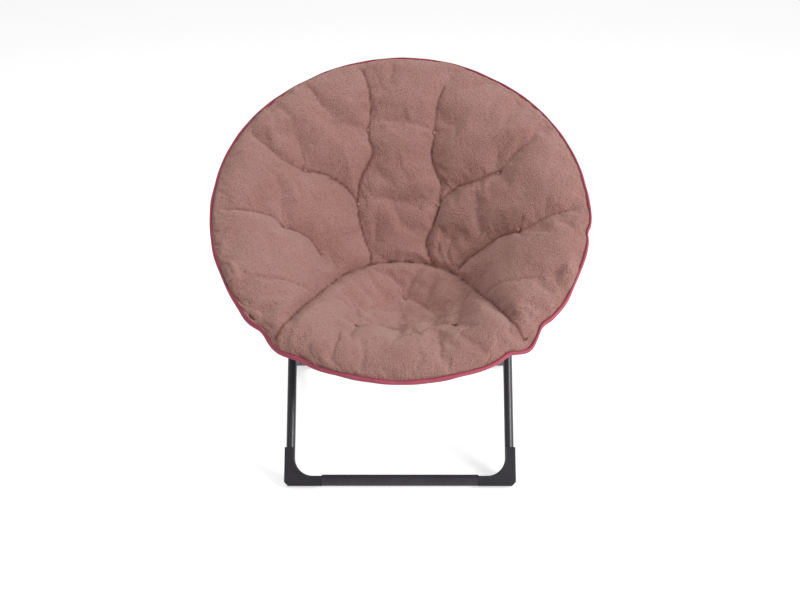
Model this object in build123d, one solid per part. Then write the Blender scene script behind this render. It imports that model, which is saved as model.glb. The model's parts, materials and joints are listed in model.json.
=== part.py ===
"""Folding saucer chair: a round padded seat on a two-part hoop, carried by two crossed U-shaped legs.

Everything is in millimetres. X is left to right, -Y is the front, Z is up and the floor is Z = 0.
The hoop is drawn flat first, in its own plane: x, u (towards the back) and w (up, out of the dish).
"""
from build123d import *
from math import asin, cos, degrees, hypot, radians, sin, sqrt
import os

# ---- driving dimensions: frame -------------------------------------------------------------------
TUBE_DIAMETER = 19.0
TUBE_WALL = 1.2
HOOP_RADIUS = 380.0           # centreline of the hoop tube
SPREAD = HOOP_RADIUS / 380.0  # the dish, its seam and its tufts grow with the hoop
HOOP_TILT = 36.7              # degrees from level, back edge up
HOOP_HEIGHT = 512.0           # centre of the hoop above the floor
HOOP_Y = 2.8                  # and behind the middle of the chair's depth
HINGE_BACK = -162.0 * SPREAD  # u of the side hinges, in front of the hoop's centre
HINGE_RISE = 11.0             # w of the hinge pins, above the tube so that the halves fold onto each other
HINGE_END_GAP = 14.0          # along the hoop, from the hinge to each tube's end

FRONT_LEG_HALF_SPAN = 229.0   # inner U: centreline to centreline is twice this
LEG_GAP = 4.0                 # between the two U legs, side by side
REAR_LEG_HALF_SPAN = FRONT_LEG_HALF_SPAN + TUBE_DIAMETER + LEG_GAP    # outer U
BAR_HEIGHT = 13.0             # centre of both floor bars
FRONT_BAR_Y = -261.0
REAR_BAR_Y = 255.0
LEG_BEND_RADIUS = 46.5
BACK_PIVOT_U = 267.0 * SPREAD  # where the front leg is pinned under the back hoop
SEAT_PIVOT_U = -245.0 * SPREAD  # where the rear leg is pinned under the front hoop
PIVOT_DROP = 30.0             # both pivots, below the hoop's plane
LEG_END_LENGTH = 9.0          # tube beyond the pivot

# ---- driving dimensions: fittings ----------------------------------------------------------------
PIN_DIAMETER = 6.0
PIN_CLEARANCE = 0.06          # radial, in every turning hole
FACE_GAP = 0.4                # between faces that slide past each other
PLATE_THICKNESS = 3.0
LUG_RADIUS = 8.5
LUG_ROOT_HEIGHT = 14.5
LUG_COLLAR = 3.0              # shoulder that the hoop tube's end butts on
PLUG_LENGTH = 12.0
PLUG_CLEARANCE = 0.25
HEAD_DIAMETER = 11.0
HEAD_HEIGHT = 2.4
DOME = 0.6                    # share of a head's height that its rounding takes
BRACKET_RADIUS = 10.0
WASHER_DIAMETER = 15.0
NUT_ACROSS_FLATS = 10.0
NUT_HEIGHT = 5.0
CAP_THICKNESS = 2.0

FOOT_LENGTH = 78.0            # along the floor bar, from its outer side
FOOT_HEIGHT = 68.0            # up the leg, from the floor bar's centre
FOOT_WALL = 2.6               # outside the tube
FOOT_THICKNESS = 24.0
FOOT_WEB_RADIUS = 37.0
FOOT_OPENING = 2.0            # the shoe stops this far short of the tube's inner side
FOOT_CORNER = 8.0             # bevel at the shoe's outer bottom corner
FOOT_EDGE = 2.0
SLEEVE_DIAMETER = 23.5
SLEEVE_CLEARANCE = 0.2

# ---- driving dimensions: soft cover --------------------------------------------------------------
ROLL_RADIUS = 15.0            # padded sleeve round the hoop tube
SOFT_GAP = 0.4
ROLL_HINGE_GAP = 24.0         # the sleeve stops this far from the hinge
PIPING_RADIUS = 3.0
PIPING_END_GAP = 1.0
PIPING_ANGLE = 20.0           # above the hoop's plane, seen from the tube's centre
PAD_THICKNESS = 27.0
CLOTH_THICKNESS = 1.6
SEAM_TOP = -28.0 * SPREAD              # u of the arched seam between seat and back, at its top
SEAM_RADIUS = 165.0 * SPREAD           # the arch
SEAM_ARC = 62.0               # degrees of arch each side, before it runs straight to the front
SEAM_GAP = 0.6
SEAM_ROUND = 12.0             # rounding of the pads along the seam
RIM_TOP = 12.0                # w of the padding's highest edge
RIM_INSET = 4.0               # the hollow's first ring, inside the padding's outer edge
RIM_SLOPE = (9.0, 6.0)        # how far the padding's outer edge leans in, and over what height
TUFT_DEPTH = 13.0
TUFT_WIDTH = 60.0
TUFT_FLARE = 3.0              # the hollow's cone goes on this far above the padding's face
BUTTON_RADIUS = 6.0
BUTTON_HEIGHT = 5.0
CHANNEL_WIDTH = 7.0
CHANNEL_DEPTH = 6.0

# the dish, as rings: inset from the hoop's radius, centre u, and depth of the cover's underside
DISH = [(ROLL_RADIUS, 0.0, 6.0)] + [
    (SPREAD * inset, SPREAD * centre_u, SPREAD * depth)
    for inset, centre_u, depth in [
        (39.0, -2.0, 16.0),
        (80.0, -12.0, 38.0),
        (140.0, -32.0, 75.0),
        (190.0, -50.0, 112.0),
        (250.0, -68.0, 158.0),
        (310.0, -78.0, 186.0),
        (360.0, -80.0, 195.0),
    ]
]


def spread(places):
    """Places (x, u) on the dish, moved out or in with the hoop's size."""
    return [(SPREAD * x, SPREAD * u) for x, u in places]


# tufts, at x and u on the hoop's plane
BACK_TUFTS = spread([(-71, 230), (76, 225), (-92, 84), (84, 85),
                     (-208, 126), (213, 117), (-245, -12), (250, -22)])
SEAT_TUFTS = spread([(10, -118)])
LIP_TUFTS = spread([(-88, -234), (112, -240)])

# sewn channels between tufts, at x and u on the hoop's plane
BACK_CHANNELS = [
    spread([(-80, 322), (-71, 230), (-92, 84), (-66, -36)]),
    spread([(84, 322), (76, 225), (84, 85), (84, -44)]),
    spread([(-298, 172), (-208, 126), (-92, 84)]),
    spread([(298, 160), (213, 117), (84, 85)]),
    spread([(-345, -9), (-245, -12), (-158, -70)]),
    spread([(345, -12), (250, -22), (164, -78)]),
]

# ---- worked-out places ---------------------------------------------------------------------------
TUBE_RADIUS = TUBE_DIAMETER / 2
BORE_RADIUS = TUBE_RADIUS - TUBE_WALL
PIN_RADIUS = PIN_DIAMETER / 2
HOLE_RADIUS = PIN_RADIUS + PIN_CLEARANCE
HOOP_X = sqrt(HOOP_RADIUS**2 - HINGE_BACK**2)
HINGE_ANGLE = degrees(asin(HINGE_BACK / HOOP_RADIUS))
HOOP = Location((0, HOOP_Y, HOOP_HEIGHT), (HOOP_TILT, 0, 0))
SIDES = {"left": -1, "right": 1}
ON_BASE = (Align.CENTER, Align.CENTER, Align.MIN)
BELOW_BASE = (Align.CENTER, Align.CENTER, Align.MAX)


def hoop_point(x, u, w):
    """A point of the hoop's own plane, in the chair's frame."""
    tilt = radians(HOOP_TILT)
    return Vector(x, HOOP_Y + u * cos(tilt) - w * sin(tilt),
                  HOOP_HEIGHT + u * sin(tilt) + w * cos(tilt))


BACK_PIVOT = hoop_point(0, BACK_PIVOT_U, -PIVOT_DROP)
SEAT_PIVOT = hoop_point(0, SEAT_PIVOT_U, -PIVOT_DROP)
FRONT_BAR = Vector(0, FRONT_BAR_Y, BAR_HEIGHT)
REAR_BAR = Vector(0, REAR_BAR_Y, BAR_HEIGHT)


def crossing(a, b, c, d):
    """Where line a-b meets line c-d, in the YZ plane."""
    p, q = b - a, d - c
    turn = p.Y * q.Z - p.Z * q.Y
    share = ((c.Y - a.Y) * q.Z - (c.Z - a.Z) * q.Y) / turn
    return a + p * share


CROSS_PIVOT = crossing(FRONT_BAR, BACK_PIVOT, REAR_BAR, SEAT_PIVOT)


def save(name, shape):
    shape.label = name
    export_step(shape, f"parts/{name}.step")


def group(solids):
    return Compound(children=list(solids))


def across(radius, x0, x1, at):
    """A cylinder along X, from x0 to x1, through the point at."""
    low, high = min(x0, x1), max(x0, x1)
    base = Plane(origin=(low, at.Y, at.Z), x_dir=(0, 1, 0), z_dir=(1, 0, 0))
    return base * Cylinder(radius, high - low, align=ON_BASE)


def domed_head(radius, height, x, outward, at):
    """A rivet head along X, standing outward from the face at x."""
    plane = Plane(origin=(x, at.Y, at.Z), x_dir=(0, 1, 0), z_dir=(outward, 0, 0))
    head = Cylinder(radius, height, align=ON_BASE)
    return plane * fillet(head.edges().sort_by(Axis.Z)[-1], height * DOME)


# ---- hoop ----------------------------------------------------------------------------------------
def torus_arc(section, radius, w, start, size):
    """The section, drawn about the tube's centre, turned about the hoop's axis, in degrees."""
    face = Plane.XZ * Pos(radius, w) * section
    return Rot(0, 0, start) * revolve(face, Axis.Z, size)


def hoop_arc(section, which, radius=HOOP_RADIUS, w=0.0, end_gap=HINGE_END_GAP):
    """The back or the front stretch of the hoop, stopping end_gap short of the side hinges."""
    gap = degrees(end_gap / HOOP_RADIUS)
    if which == "back":
        return torus_arc(section, radius, w, HINGE_ANGLE + gap, 180 - 2 * HINGE_ANGLE - 2 * gap)
    return torus_arc(section, radius, w, 180 - HINGE_ANGLE + gap, 180 + 2 * HINGE_ANGLE - 2 * gap)


def hoop_tube(which):
    return hoop_arc(Circle(TUBE_RADIUS) - Circle(BORE_RADIUS), which)


def hinge_pin_point():
    return Vector(HOOP_X, HINGE_BACK, HINGE_RISE)


def hinge_lug(which):
    """Right-hand lug: a plug in the hoop tube's end, a collar, and an ear that reaches the pin."""
    turn = 1 if which == "back" else -1
    angle = HINGE_ANGLE + turn * degrees(HINGE_END_GAP / HOOP_RADIUS)
    a = radians(angle)
    end = Vector(HOOP_RADIUS * cos(a), HOOP_RADIUS * sin(a), 0)
    outward = Vector(sin(a), -cos(a), 0) * turn
    base = Plane(origin=end, x_dir=(0, 0, 1), z_dir=outward)
    collar = base * Cylinder(TUBE_RADIUS, LUG_COLLAR, align=ON_BASE)
    plug = base * Cylinder(BORE_RADIUS - PLUG_CLEARANCE, PLUG_LENGTH,
                           align=BELOW_BASE)
    pin = hinge_pin_point()
    ear_x = pin.X + FACE_GAP / 2 if which == "back" else pin.X - FACE_GAP / 2 - PLATE_THICKNESS
    ear_plane = Plane(origin=(ear_x, 0, 0), x_dir=(0, 1, 0), z_dir=(1, 0, 0))
    root = end + outward * (LUG_COLLAR / 2)
    outline = make_hull([
        *(Pos(pin.Y, pin.Z) * Circle(LUG_RADIUS)).edges(),
        *(Pos(root.Y, 0) * Rectangle(LUG_COLLAR * 0.8, LUG_ROOT_HEIGHT)).edges(),
    ])
    ear = ear_plane * extrude(outline, PLATE_THICKNESS)
    ear -= hoop_arc(Circle(TUBE_RADIUS), which)
    lug = collar + plug + ear
    hole = HOLE_RADIUS if which == "front" else PIN_RADIUS
    return lug - across(hole, pin.X - TUBE_DIAMETER, pin.X + TUBE_DIAMETER, pin)


def hinge_pin():
    """Right-hand rivet, closed on both ears, turning in the front one."""
    pin = hinge_pin_point()
    inner = pin.X - FACE_GAP / 2 - PLATE_THICKNESS - PIN_CLEARANCE
    outer = pin.X + FACE_GAP / 2 + PLATE_THICKNESS
    shank = across(PIN_RADIUS, inner, outer, pin)
    heads = domed_head(HEAD_DIAMETER / 2, HEAD_HEIGHT, outer, 1, pin)
    return shank + heads + domed_head(HEAD_DIAMETER / 2, HEAD_HEIGHT, inner, -1, pin)


def bracket_face(half_span):
    """x of the bracket plate's inner face: it stands just outside the leg tube."""
    return half_span + TUBE_RADIUS + FACE_GAP


def pivot_bracket(half_span, pivot_u):
    """Right-hand plate welded under the hoop tube, with the leg's pivot hole at its lower end."""
    x = bracket_face(half_span)
    reach = sqrt(HOOP_RADIUS**2 - (x + PLATE_THICKNESS / 2) ** 2)
    weld_u = reach if pivot_u > 0 else -reach
    plane = Plane(origin=(x, 0, 0), x_dir=(0, 1, 0), z_dir=(1, 0, 0))
    outline = make_hull([
        *(Pos(pivot_u, -PIVOT_DROP) * Circle(BRACKET_RADIUS)).edges(),
        *(Pos(weld_u, 0) * Circle(TUBE_RADIUS)).edges(),
    ])
    plate = plane * extrude(outline, PLATE_THICKNESS)
    plate -= Torus(HOOP_RADIUS, TUBE_RADIUS)
    above = extrude(Rectangle(HOOP_RADIUS, 2 * PIVOT_DROP), PLATE_THICKNESS)
    plate -= plane * Pos(weld_u, PIVOT_DROP) * above
    at = Vector(0, pivot_u, -PIVOT_DROP)
    return plate - across(PIN_RADIUS, x - PLATE_THICKNESS, x + 2 * PLATE_THICKNESS, at)


def mirrored(shape):
    return mirror(shape, Plane.YZ)


# ---- legs ----------------------------------------------------------------------------------------
def leg_plane(bar, pivot):
    """Plane of a U leg: x across, y up the leg, origin at the middle of the floor bar."""
    along = (pivot - bar).normalized()
    return Plane(origin=bar, x_dir=(1, 0, 0), z_dir=Vector(1, 0, 0).cross(along))


def leg_tube(bar, pivot, half_span):
    plane = leg_plane(bar, pivot)
    length = (pivot - bar).length + LEG_END_LENGTH
    path = FilletPolyline((-half_span, length), (-half_span, 0), (half_span, 0), (half_span, length),
                          radius=LEG_BEND_RADIUS)
    section = Plane(origin=path @ 0, z_dir=path % 0) * (Circle(TUBE_RADIUS) - Circle(BORE_RADIUS))
    tube = plane * sweep(section, path=path)
    for side in SIDES.values():
        for hole in (pivot, CROSS_PIVOT):
            centre = side * half_span
            tube -= across(HOLE_RADIUS, centre - TUBE_DIAMETER, centre + TUBE_DIAMETER, hole)
    return tube


def end_cap(bar, pivot, half_span, side):
    """Push-in cap on a leg tube's top end."""
    plane = leg_plane(bar, pivot)
    length = (pivot - bar).length + LEG_END_LENGTH
    cap = Cylinder(TUBE_RADIUS, CAP_THICKNESS, align=ON_BASE)
    cap = fillet(cap.edges().sort_by(Axis.Z)[-1], CAP_THICKNESS * DOME)
    plug = Cylinder(BORE_RADIUS - PLUG_CLEARANCE, LEG_END_LENGTH - 2 * PIN_RADIUS,
                    align=BELOW_BASE)
    return plane * Pos(side * half_span, length) * Rot(-90, 0, 0) * (cap + plug)


def leg_room(bar, pivot, half_span):
    """The space that the bottom of the leg tube takes, as a solid rod."""
    plane = leg_plane(bar, pivot)
    path = FilletPolyline((-half_span, 2 * FOOT_HEIGHT), (-half_span, 0), (half_span, 0),
                          (half_span, 2 * FOOT_HEIGHT), radius=LEG_BEND_RADIUS)
    section = Plane(origin=path @ 0, z_dir=path % 0) * Circle(TUBE_RADIUS)
    return plane * sweep(section, path=path)


def corner_foot(bar, pivot, half_span):
    """Right-hand moulded shoe round the leg's bottom corner, with a flat web inside, cut flat on the floor."""
    plane = leg_plane(bar, pivot)
    outer = half_span + TUBE_RADIUS + FOOT_WALL
    end = outer - FOOT_LENGTH
    edge = TUBE_RADIUS - FOOT_OPENING
    inner = half_span - edge
    low = -TUBE_RADIUS - FOOT_WALL
    web = FOOT_WEB_RADIUS
    turn = web * (1 - sqrt(0.5))
    outline = [
        Line((end, low), (outer - FOOT_CORNER, low)),
        Line((outer - FOOT_CORNER, low), (outer, low + FOOT_CORNER)),
        Line((outer, low + FOOT_CORNER), (outer, FOOT_HEIGHT)),
        Line((outer, FOOT_HEIGHT), (inner, FOOT_HEIGHT)),
        Line((inner, FOOT_HEIGHT), (inner, edge + web)),
        ThreePointArc((inner, edge + web), (inner - turn, edge + turn), (inner - web, edge)),
        Line((inner - web, edge), (end, edge)),
        Line((end, edge), (end, low)),
    ]
    shoe = extrude(make_face(outline), FOOT_THICKNESS / 2, both=True)
    outer_edges = [e for e in shoe.edges() if e.center().X > outer - 0.1 and abs(e.center().Z) > 1]
    shoe = fillet(outer_edges, FOOT_EDGE)
    size = 2 * HOOP_RADIUS
    above_floor = Pos(0, bar.Y, 0) * Box(size, size, size, align=ON_BASE)
    return (plane * shoe) & above_floor


def foot(bar, pivot, half_span):
    return corner_foot(bar, pivot, half_span) - leg_room(bar, pivot, half_span)


def floor_sleeve(bar, half_span):
    """Plain sleeve over the floor bar, between its two shoes."""
    reach = half_span + TUBE_RADIUS + FOOT_WALL - FOOT_LENGTH
    ring = across(SLEEVE_DIAMETER / 2, -reach, reach, bar)
    return ring - across(TUBE_RADIUS + SLEEVE_CLEARANCE, -reach - 1, reach + 1, bar)


# ---- pins ----------------------------------------------------------------------------------------
def cross_bolt():
    """Right-hand bolt through both leg tubes where they cross, with its head outside."""
    inner = FRONT_LEG_HALF_SPAN - TUBE_RADIUS
    outer = REAR_LEG_HALF_SPAN + TUBE_RADIUS + PIN_CLEARANCE
    shank = across(PIN_RADIUS, inner - NUT_HEIGHT, outer, CROSS_PIVOT)
    return shank + domed_head(HEAD_DIAMETER / 2, HEAD_HEIGHT, outer, 1, CROSS_PIVOT)


def cross_nut():
    face = FRONT_LEG_HALF_SPAN - TUBE_RADIUS
    plane = Plane(origin=(face, CROSS_PIVOT.Y, CROSS_PIVOT.Z), x_dir=(0, 1, 0), z_dir=(-1, 0, 0))
    nut = extrude(RegularPolygon(NUT_ACROSS_FLATS / 2, 6, major_radius=False), NUT_HEIGHT)
    return plane * nut - across(PIN_RADIUS, face - 2 * NUT_HEIGHT, face + 1, CROSS_PIVOT)


def cross_washer():
    """Spacer between the two leg tubes."""
    low = FRONT_LEG_HALF_SPAN + TUBE_RADIUS
    high = REAR_LEG_HALF_SPAN - TUBE_RADIUS - PIN_CLEARANCE
    disc = across(WASHER_DIAMETER / 2, low, high, CROSS_PIVOT)
    return disc - across(PIN_RADIUS, low - 1, high + 1, CROSS_PIVOT)


def back_rivet():
    """Right-hand rivet: fast in the bracket, turning in the front leg's end."""
    inner = FRONT_LEG_HALF_SPAN - TUBE_RADIUS - PIN_CLEARANCE
    outer = bracket_face(FRONT_LEG_HALF_SPAN) + PLATE_THICKNESS
    shank = across(PIN_RADIUS, inner, outer, BACK_PIVOT)
    heads = domed_head(HEAD_DIAMETER / 2, HEAD_HEIGHT, outer, 1, BACK_PIVOT)
    return shank + heads + domed_head(HEAD_DIAMETER / 2, HEAD_HEIGHT, inner, -1, BACK_PIVOT)


def seat_rivet_leg_half():
    """Right-hand rivet's inner half, fast in the rear leg's end and flush with its outer side."""
    inner = REAR_LEG_HALF_SPAN - TUBE_RADIUS
    shank = across(HOLE_RADIUS, inner, REAR_LEG_HALF_SPAN + TUBE_RADIUS, SEAT_PIVOT)
    return shank + domed_head(HEAD_DIAMETER / 2, HEAD_HEIGHT, inner, -1, SEAT_PIVOT)


def seat_rivet_bracket_half():
    """Right-hand rivet's outer half, fast in the seat bracket."""
    inner = bracket_face(REAR_LEG_HALF_SPAN)
    outer = inner + PLATE_THICKNESS
    shank = across(PIN_RADIUS, inner, outer, SEAT_PIVOT)
    return shank + domed_head(HEAD_DIAMETER / 2, HEAD_HEIGHT, outer, 1, SEAT_PIVOT)


# ---- soft cover ----------------------------------------------------------------------------------
def dish_rings(raised, drawn_in=0.0):
    """The dish's rings as (radius, centre u, w), raised off the underside and drawn in."""
    return [(HOOP_RADIUS - inset - drawn_in, u, raised - depth) for inset, u, depth in DISH]


def ring_face(radius, centre_u, w):
    quarters = [CenterArc((0, centre_u, w), radius, 45 + 90 * k, 90) for k in range(4)]
    return make_face(quarters)


def bowl(raised, drawn_in=0.0):
    return loft([ring_face(*ring) for ring in dish_rings(raised, drawn_in)])


def wall_above(raised, top, drawn_in=0.0):
    """Upright disc from the dish's first ring up to the level top."""
    radius, centre_u, w = dish_rings(raised, drawn_in)[0]
    return Pos(0, centre_u, w) * Cylinder(radius, top - w, align=ON_BASE)


def dish_solid(raised, top, drawn_in=0.0):
    """Everything inside the dish's underside raised by the given amount, up to the level top."""
    return bowl(raised, drawn_in) + wall_above(raised, top, drawn_in)


def dish_height(x, u, raised):
    """w of the dish at x, u, between its rings."""
    rings = dish_rings(raised)
    for (r0, c0, w0), (r1, c1, w1) in zip(rings, rings[1:]):
        low, high = 0.0, 1.0
        if hypot(x, u - c1) > r1:
            for _ in range(30):
                share = (low + high) / 2
                inside = hypot(x, u - c0 - share * (c1 - c0)) < r0 + share * (r1 - r0)
                low, high = (share, high) if inside else (low, share)
            return w0 + low * (w1 - w0)
    return rings[-1][2]


def pad_top(x, u):
    return dish_height(x, u, CLOTH_THICKNESS + PAD_THICKNESS)


def half(which, gap=0.0):
    """The space behind or in front of the fold line, less a gap."""
    size = 3 * HOOP_RADIUS
    turn = 1 if which == "back" else -1
    align = (Align.CENTER, Align.MIN if turn > 0 else Align.MAX, Align.CENTER)
    return Pos(0, HINGE_BACK + turn * gap, 0) * Box(size, size, size, align=align)


def seam_post(grow):
    """Upright post whose side is the arched seam, grown outward by the given amount."""
    turn = radians(SEAM_ARC)
    radius = SEAM_RADIUS + grow
    shoulder = Vector(radius * sin(turn), SEAM_TOP - SEAM_RADIUS + radius * cos(turn))
    end = shoulder + Vector(cos(turn), -sin(turn)) * (1.2 * HOOP_RADIUS)
    right = [(shoulder.X, shoulder.Y), (end.X, end.Y)]
    left = [(-x, u) for x, u in right]
    post = make_face([
        ThreePointArc(left[0], (0, SEAM_TOP + grow), right[0]),
        Line(right[0], right[1]),
        Line(right[1], left[1]),
        Line(left[1], left[0]),
    ])
    return extrude(post, HOOP_RADIUS, both=True)


def tuft_plane(x, u):
    """Bottom of a tuft's hollow, square to the padding's face."""
    slope_x = (pad_top(x + 5, u) - pad_top(x - 5, u)) / 10
    slope_u = (pad_top(x, u + 5) - pad_top(x, u - 5)) / 10
    face = Vector(-slope_x, -slope_u, 1).normalized()
    return Plane(origin=Vector(x, u, pad_top(x, u)) - face * TUFT_DEPTH, z_dir=face)


def tuft_hole(x, u):
    height = TUFT_DEPTH + TUFT_FLARE
    cone = Cone(BUTTON_RADIUS + 1, TUFT_WIDTH / 2, height, align=ON_BASE)
    return tuft_plane(x, u) * cone


def button(x, u):
    base = Cylinder(BUTTON_RADIUS, BUTTON_HEIGHT, align=ON_BASE)
    return tuft_plane(x, u) * fillet(base.edges().sort_by(Axis.Z)[-1], BUTTON_HEIGHT * DOME)


def plain_pad():
    """Seat and back padding as one dish, before it is parted, rounded and tufted."""
    outer = dish_solid(CLOTH_THICKNESS + SOFT_GAP, RIM_TOP, SOFT_GAP)
    return outer - dish_solid(CLOTH_THICKNESS + PAD_THICKNESS, 3 * RIM_TOP, RIM_INSET)


def rim_lean():
    """Everything under the padding's leaning outer edge."""
    lean_in, lean_height = RIM_SLOPE
    radius = HOOP_RADIUS - DISH[0][0]
    low = RIM_TOP - lean_height
    body = Pos(0, 0, low) * Cylinder(radius, HOOP_RADIUS, align=BELOW_BASE)
    return body + Pos(0, 0, low) * Cone(radius, radius - lean_in, lean_height, align=ON_BASE)


def round_seam(pad, post):
    """The pad with its upper edges along the seam rounded, so that the seam lies in a valley."""
    walls = post.faces().filter_by(Axis.Z, reverse=True)
    middle = CLOTH_THICKNESS + PAD_THICKNESS / 2

    def on_seam(edge):
        centre = edge @ 0.5
        upright = abs((edge % 0.5).Z) > 0.9 or edge.length < 1.5 * SEAM_ROUND
        level = centre.Z > RIM_TOP - 0.5
        if upright or level or centre.Z < dish_height(centre.X, centre.Y, middle):
            return False
        return all(min(wall.distance_to(edge @ t) for wall in walls) < 0.05 for t in (0.1, 0.5, 0.9))

    return fillet([edge for edge in pad.edges() if on_seam(edge)], SEAM_ROUND)


def channel(points):
    """Upright slot along the points, which cuts only the padding's upper layer."""
    path = Polyline(*points)
    slot = extrude(make_face(offset(path, CHANNEL_WIDTH / 2)), HOOP_RADIUS, both=True)
    return slot & dish_solid(CLOTH_THICKNESS + PAD_THICKNESS - CHANNEL_DEPTH, 3 * RIM_TOP)


def back_padding():
    post = seam_post(SEAM_GAP / 2)
    pad = round_seam(plain_pad() - post, post) & rim_lean()
    for points in BACK_CHANNELS:
        pad -= channel(points)
    for x, u in BACK_TUFTS:
        pad -= tuft_hole(x, u)
    return pad


def seat_padding():
    post = seam_post(-SEAM_GAP / 2)
    pad = round_seam(plain_pad() & post, post) & rim_lean()
    for x, u in SEAT_TUFTS + LIP_TUFTS:
        pad -= tuft_hole(x, u)
    return pad


def whole_cloth():
    """Thin cloth under the padding, from the sleeve on one side to the other."""
    level = -DISH[0][2] + CLOTH_THICKNESS
    return dish_solid(0.0, level, SOFT_GAP) - bowl(CLOTH_THICKNESS, SOFT_GAP)


def roll(which):
    """Padded sleeve round the hoop tube."""
    ring = Circle(ROLL_RADIUS) - Circle(TUBE_RADIUS + SOFT_GAP)
    return hoop_arc(ring, which, end_gap=ROLL_HINGE_GAP)


def piping(which):
    reach = ROLL_RADIUS + PIPING_RADIUS + SOFT_GAP
    a = radians(PIPING_ANGLE)
    return hoop_arc(Circle(PIPING_RADIUS), which, HOOP_RADIUS + reach * cos(a), reach * sin(a), PIPING_END_GAP)


# ---- the pieces ----------------------------------------------------------------------------------
def save_legs():
    legs = {
        "front": (FRONT_BAR, BACK_PIVOT, FRONT_LEG_HALF_SPAN),
        "rear": (REAR_BAR, SEAT_PIVOT, REAR_LEG_HALF_SPAN),
    }
    for name, (bar, pivot, half_span) in legs.items():
        save(f"{name}_leg_tube", leg_tube(bar, pivot, half_span))
        save(f"{name}_floor_sleeve", floor_sleeve(bar, half_span))
        save(f"{name}_leg_caps", group(end_cap(bar, pivot, half_span, side) for side in SIDES.values()))
        right = foot(bar, pivot, half_span)
        save(f"{name}_foot_right", right)
        save(f"{name}_foot_left", mirrored(right))


def save_pins():
    right_hand = {
        "cross_bolts": cross_bolt(),
        "cross_nuts": cross_nut(),
        "cross_washers": cross_washer(),
        "back_rivets": back_rivet(),
        "seat_rivet_leg_halves": seat_rivet_leg_half(),
        "seat_rivet_bracket_halves": seat_rivet_bracket_half(),
    }
    for name, piece in right_hand.items():
        save(name, group([piece, mirrored(piece)]))


def save_hoop():
    pin = HOOP * hinge_pin()
    save("hinge_pin_right", pin)
    save("hinge_pin_left", mirrored(pin))
    brackets = {
        "back": HOOP * pivot_bracket(FRONT_LEG_HALF_SPAN, BACK_PIVOT_U),
        "front": HOOP * pivot_bracket(REAR_LEG_HALF_SPAN, SEAT_PIVOT_U),
    }
    for which, bracket in brackets.items():
        save(f"{which}_hoop_tube", HOOP * hoop_tube(which))
        lug = HOOP * hinge_lug(which)
        save(f"{which}_hinge_lug_right", lug)
        save(f"{which}_hinge_lug_left", mirrored(lug))
        save(f"{which}_bracket_right", bracket)
        save(f"{which}_bracket_left", mirrored(bracket))
        sleeve = HOOP * roll(which)
        for side in (bracket, mirrored(bracket)):
            sleeve -= bracket_slit(side)
        save(f"{which}_hoop_sleeve", sleeve)
        save(f"{which}_piping", HOOP * piping(which))


def bracket_slit(bracket):
    """Room for a bracket where it leaves the hoop's sleeve."""
    box = bracket.bounding_box()
    grown = Box(box.size.X + 2 * SOFT_GAP, box.size.Y + 2 * SOFT_GAP, box.size.Z + 2 * SOFT_GAP)
    return Location(box.center()) * grown


def save_cover():
    back, seat, cloth = back_padding(), seat_padding(), whole_cloth()
    gap = SEAM_GAP / 2
    for which in ("back", "front"):
        space = half(which, gap)
        save(f"{which}_cushion", HOOP * (back & space))
        save(f"{which}_seat_cushion", HOOP * (seat & space))
        save(f"{which}_under_cloth", HOOP * (cloth & space))
    save("back_tufts", group(HOOP * button(*place) for place in BACK_TUFTS))
    save("seat_tuft", group(HOOP * button(*place) for place in SEAT_TUFTS))
    save("seat_lip_tufts", group(HOOP * button(*place) for place in LIP_TUFTS))


os.makedirs("parts", exist_ok=True)
save_legs()
save_pins()
save_hoop()
save_cover()
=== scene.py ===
"""Dresses the folding saucer chair: the sewn cover, its piping and stitches, and every finish.

Lengths named here are in millimetres unless they say metres. The cover is drawn in the hoop's own
coordinates, as in the part's source: x across, u towards the back, w up out of the dish.
"""
import bmesh
import bpy
import numpy as np
from math import atan2, cos, degrees, pi, radians, sin
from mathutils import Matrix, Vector
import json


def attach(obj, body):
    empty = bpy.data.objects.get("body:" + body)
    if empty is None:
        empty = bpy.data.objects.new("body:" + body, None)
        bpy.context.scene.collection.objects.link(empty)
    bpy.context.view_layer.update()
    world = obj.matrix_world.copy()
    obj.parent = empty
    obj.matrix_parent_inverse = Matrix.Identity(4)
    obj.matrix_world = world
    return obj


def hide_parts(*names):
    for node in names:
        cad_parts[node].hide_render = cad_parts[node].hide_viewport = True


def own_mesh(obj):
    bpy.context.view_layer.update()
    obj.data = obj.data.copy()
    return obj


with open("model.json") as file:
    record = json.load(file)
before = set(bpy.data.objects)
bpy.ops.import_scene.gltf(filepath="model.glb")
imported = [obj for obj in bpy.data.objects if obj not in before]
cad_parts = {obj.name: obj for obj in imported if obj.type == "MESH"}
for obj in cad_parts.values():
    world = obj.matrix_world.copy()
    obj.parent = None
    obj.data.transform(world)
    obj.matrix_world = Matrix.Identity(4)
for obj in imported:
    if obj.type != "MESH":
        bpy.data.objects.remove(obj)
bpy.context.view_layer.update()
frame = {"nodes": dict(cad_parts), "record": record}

MM = 0.001
HOOP_RADIUS, HOOP_TILT = 380.0, radians(36.7)
HOOP_Y, HOOP_HEIGHT = 2.8, 512.0
HINGE_BACK = -162.0  # u of the hinges, and x of the right one
HINGE_ACROSS = (HOOP_RADIUS**2 - HINGE_BACK**2) ** 0.5
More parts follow.
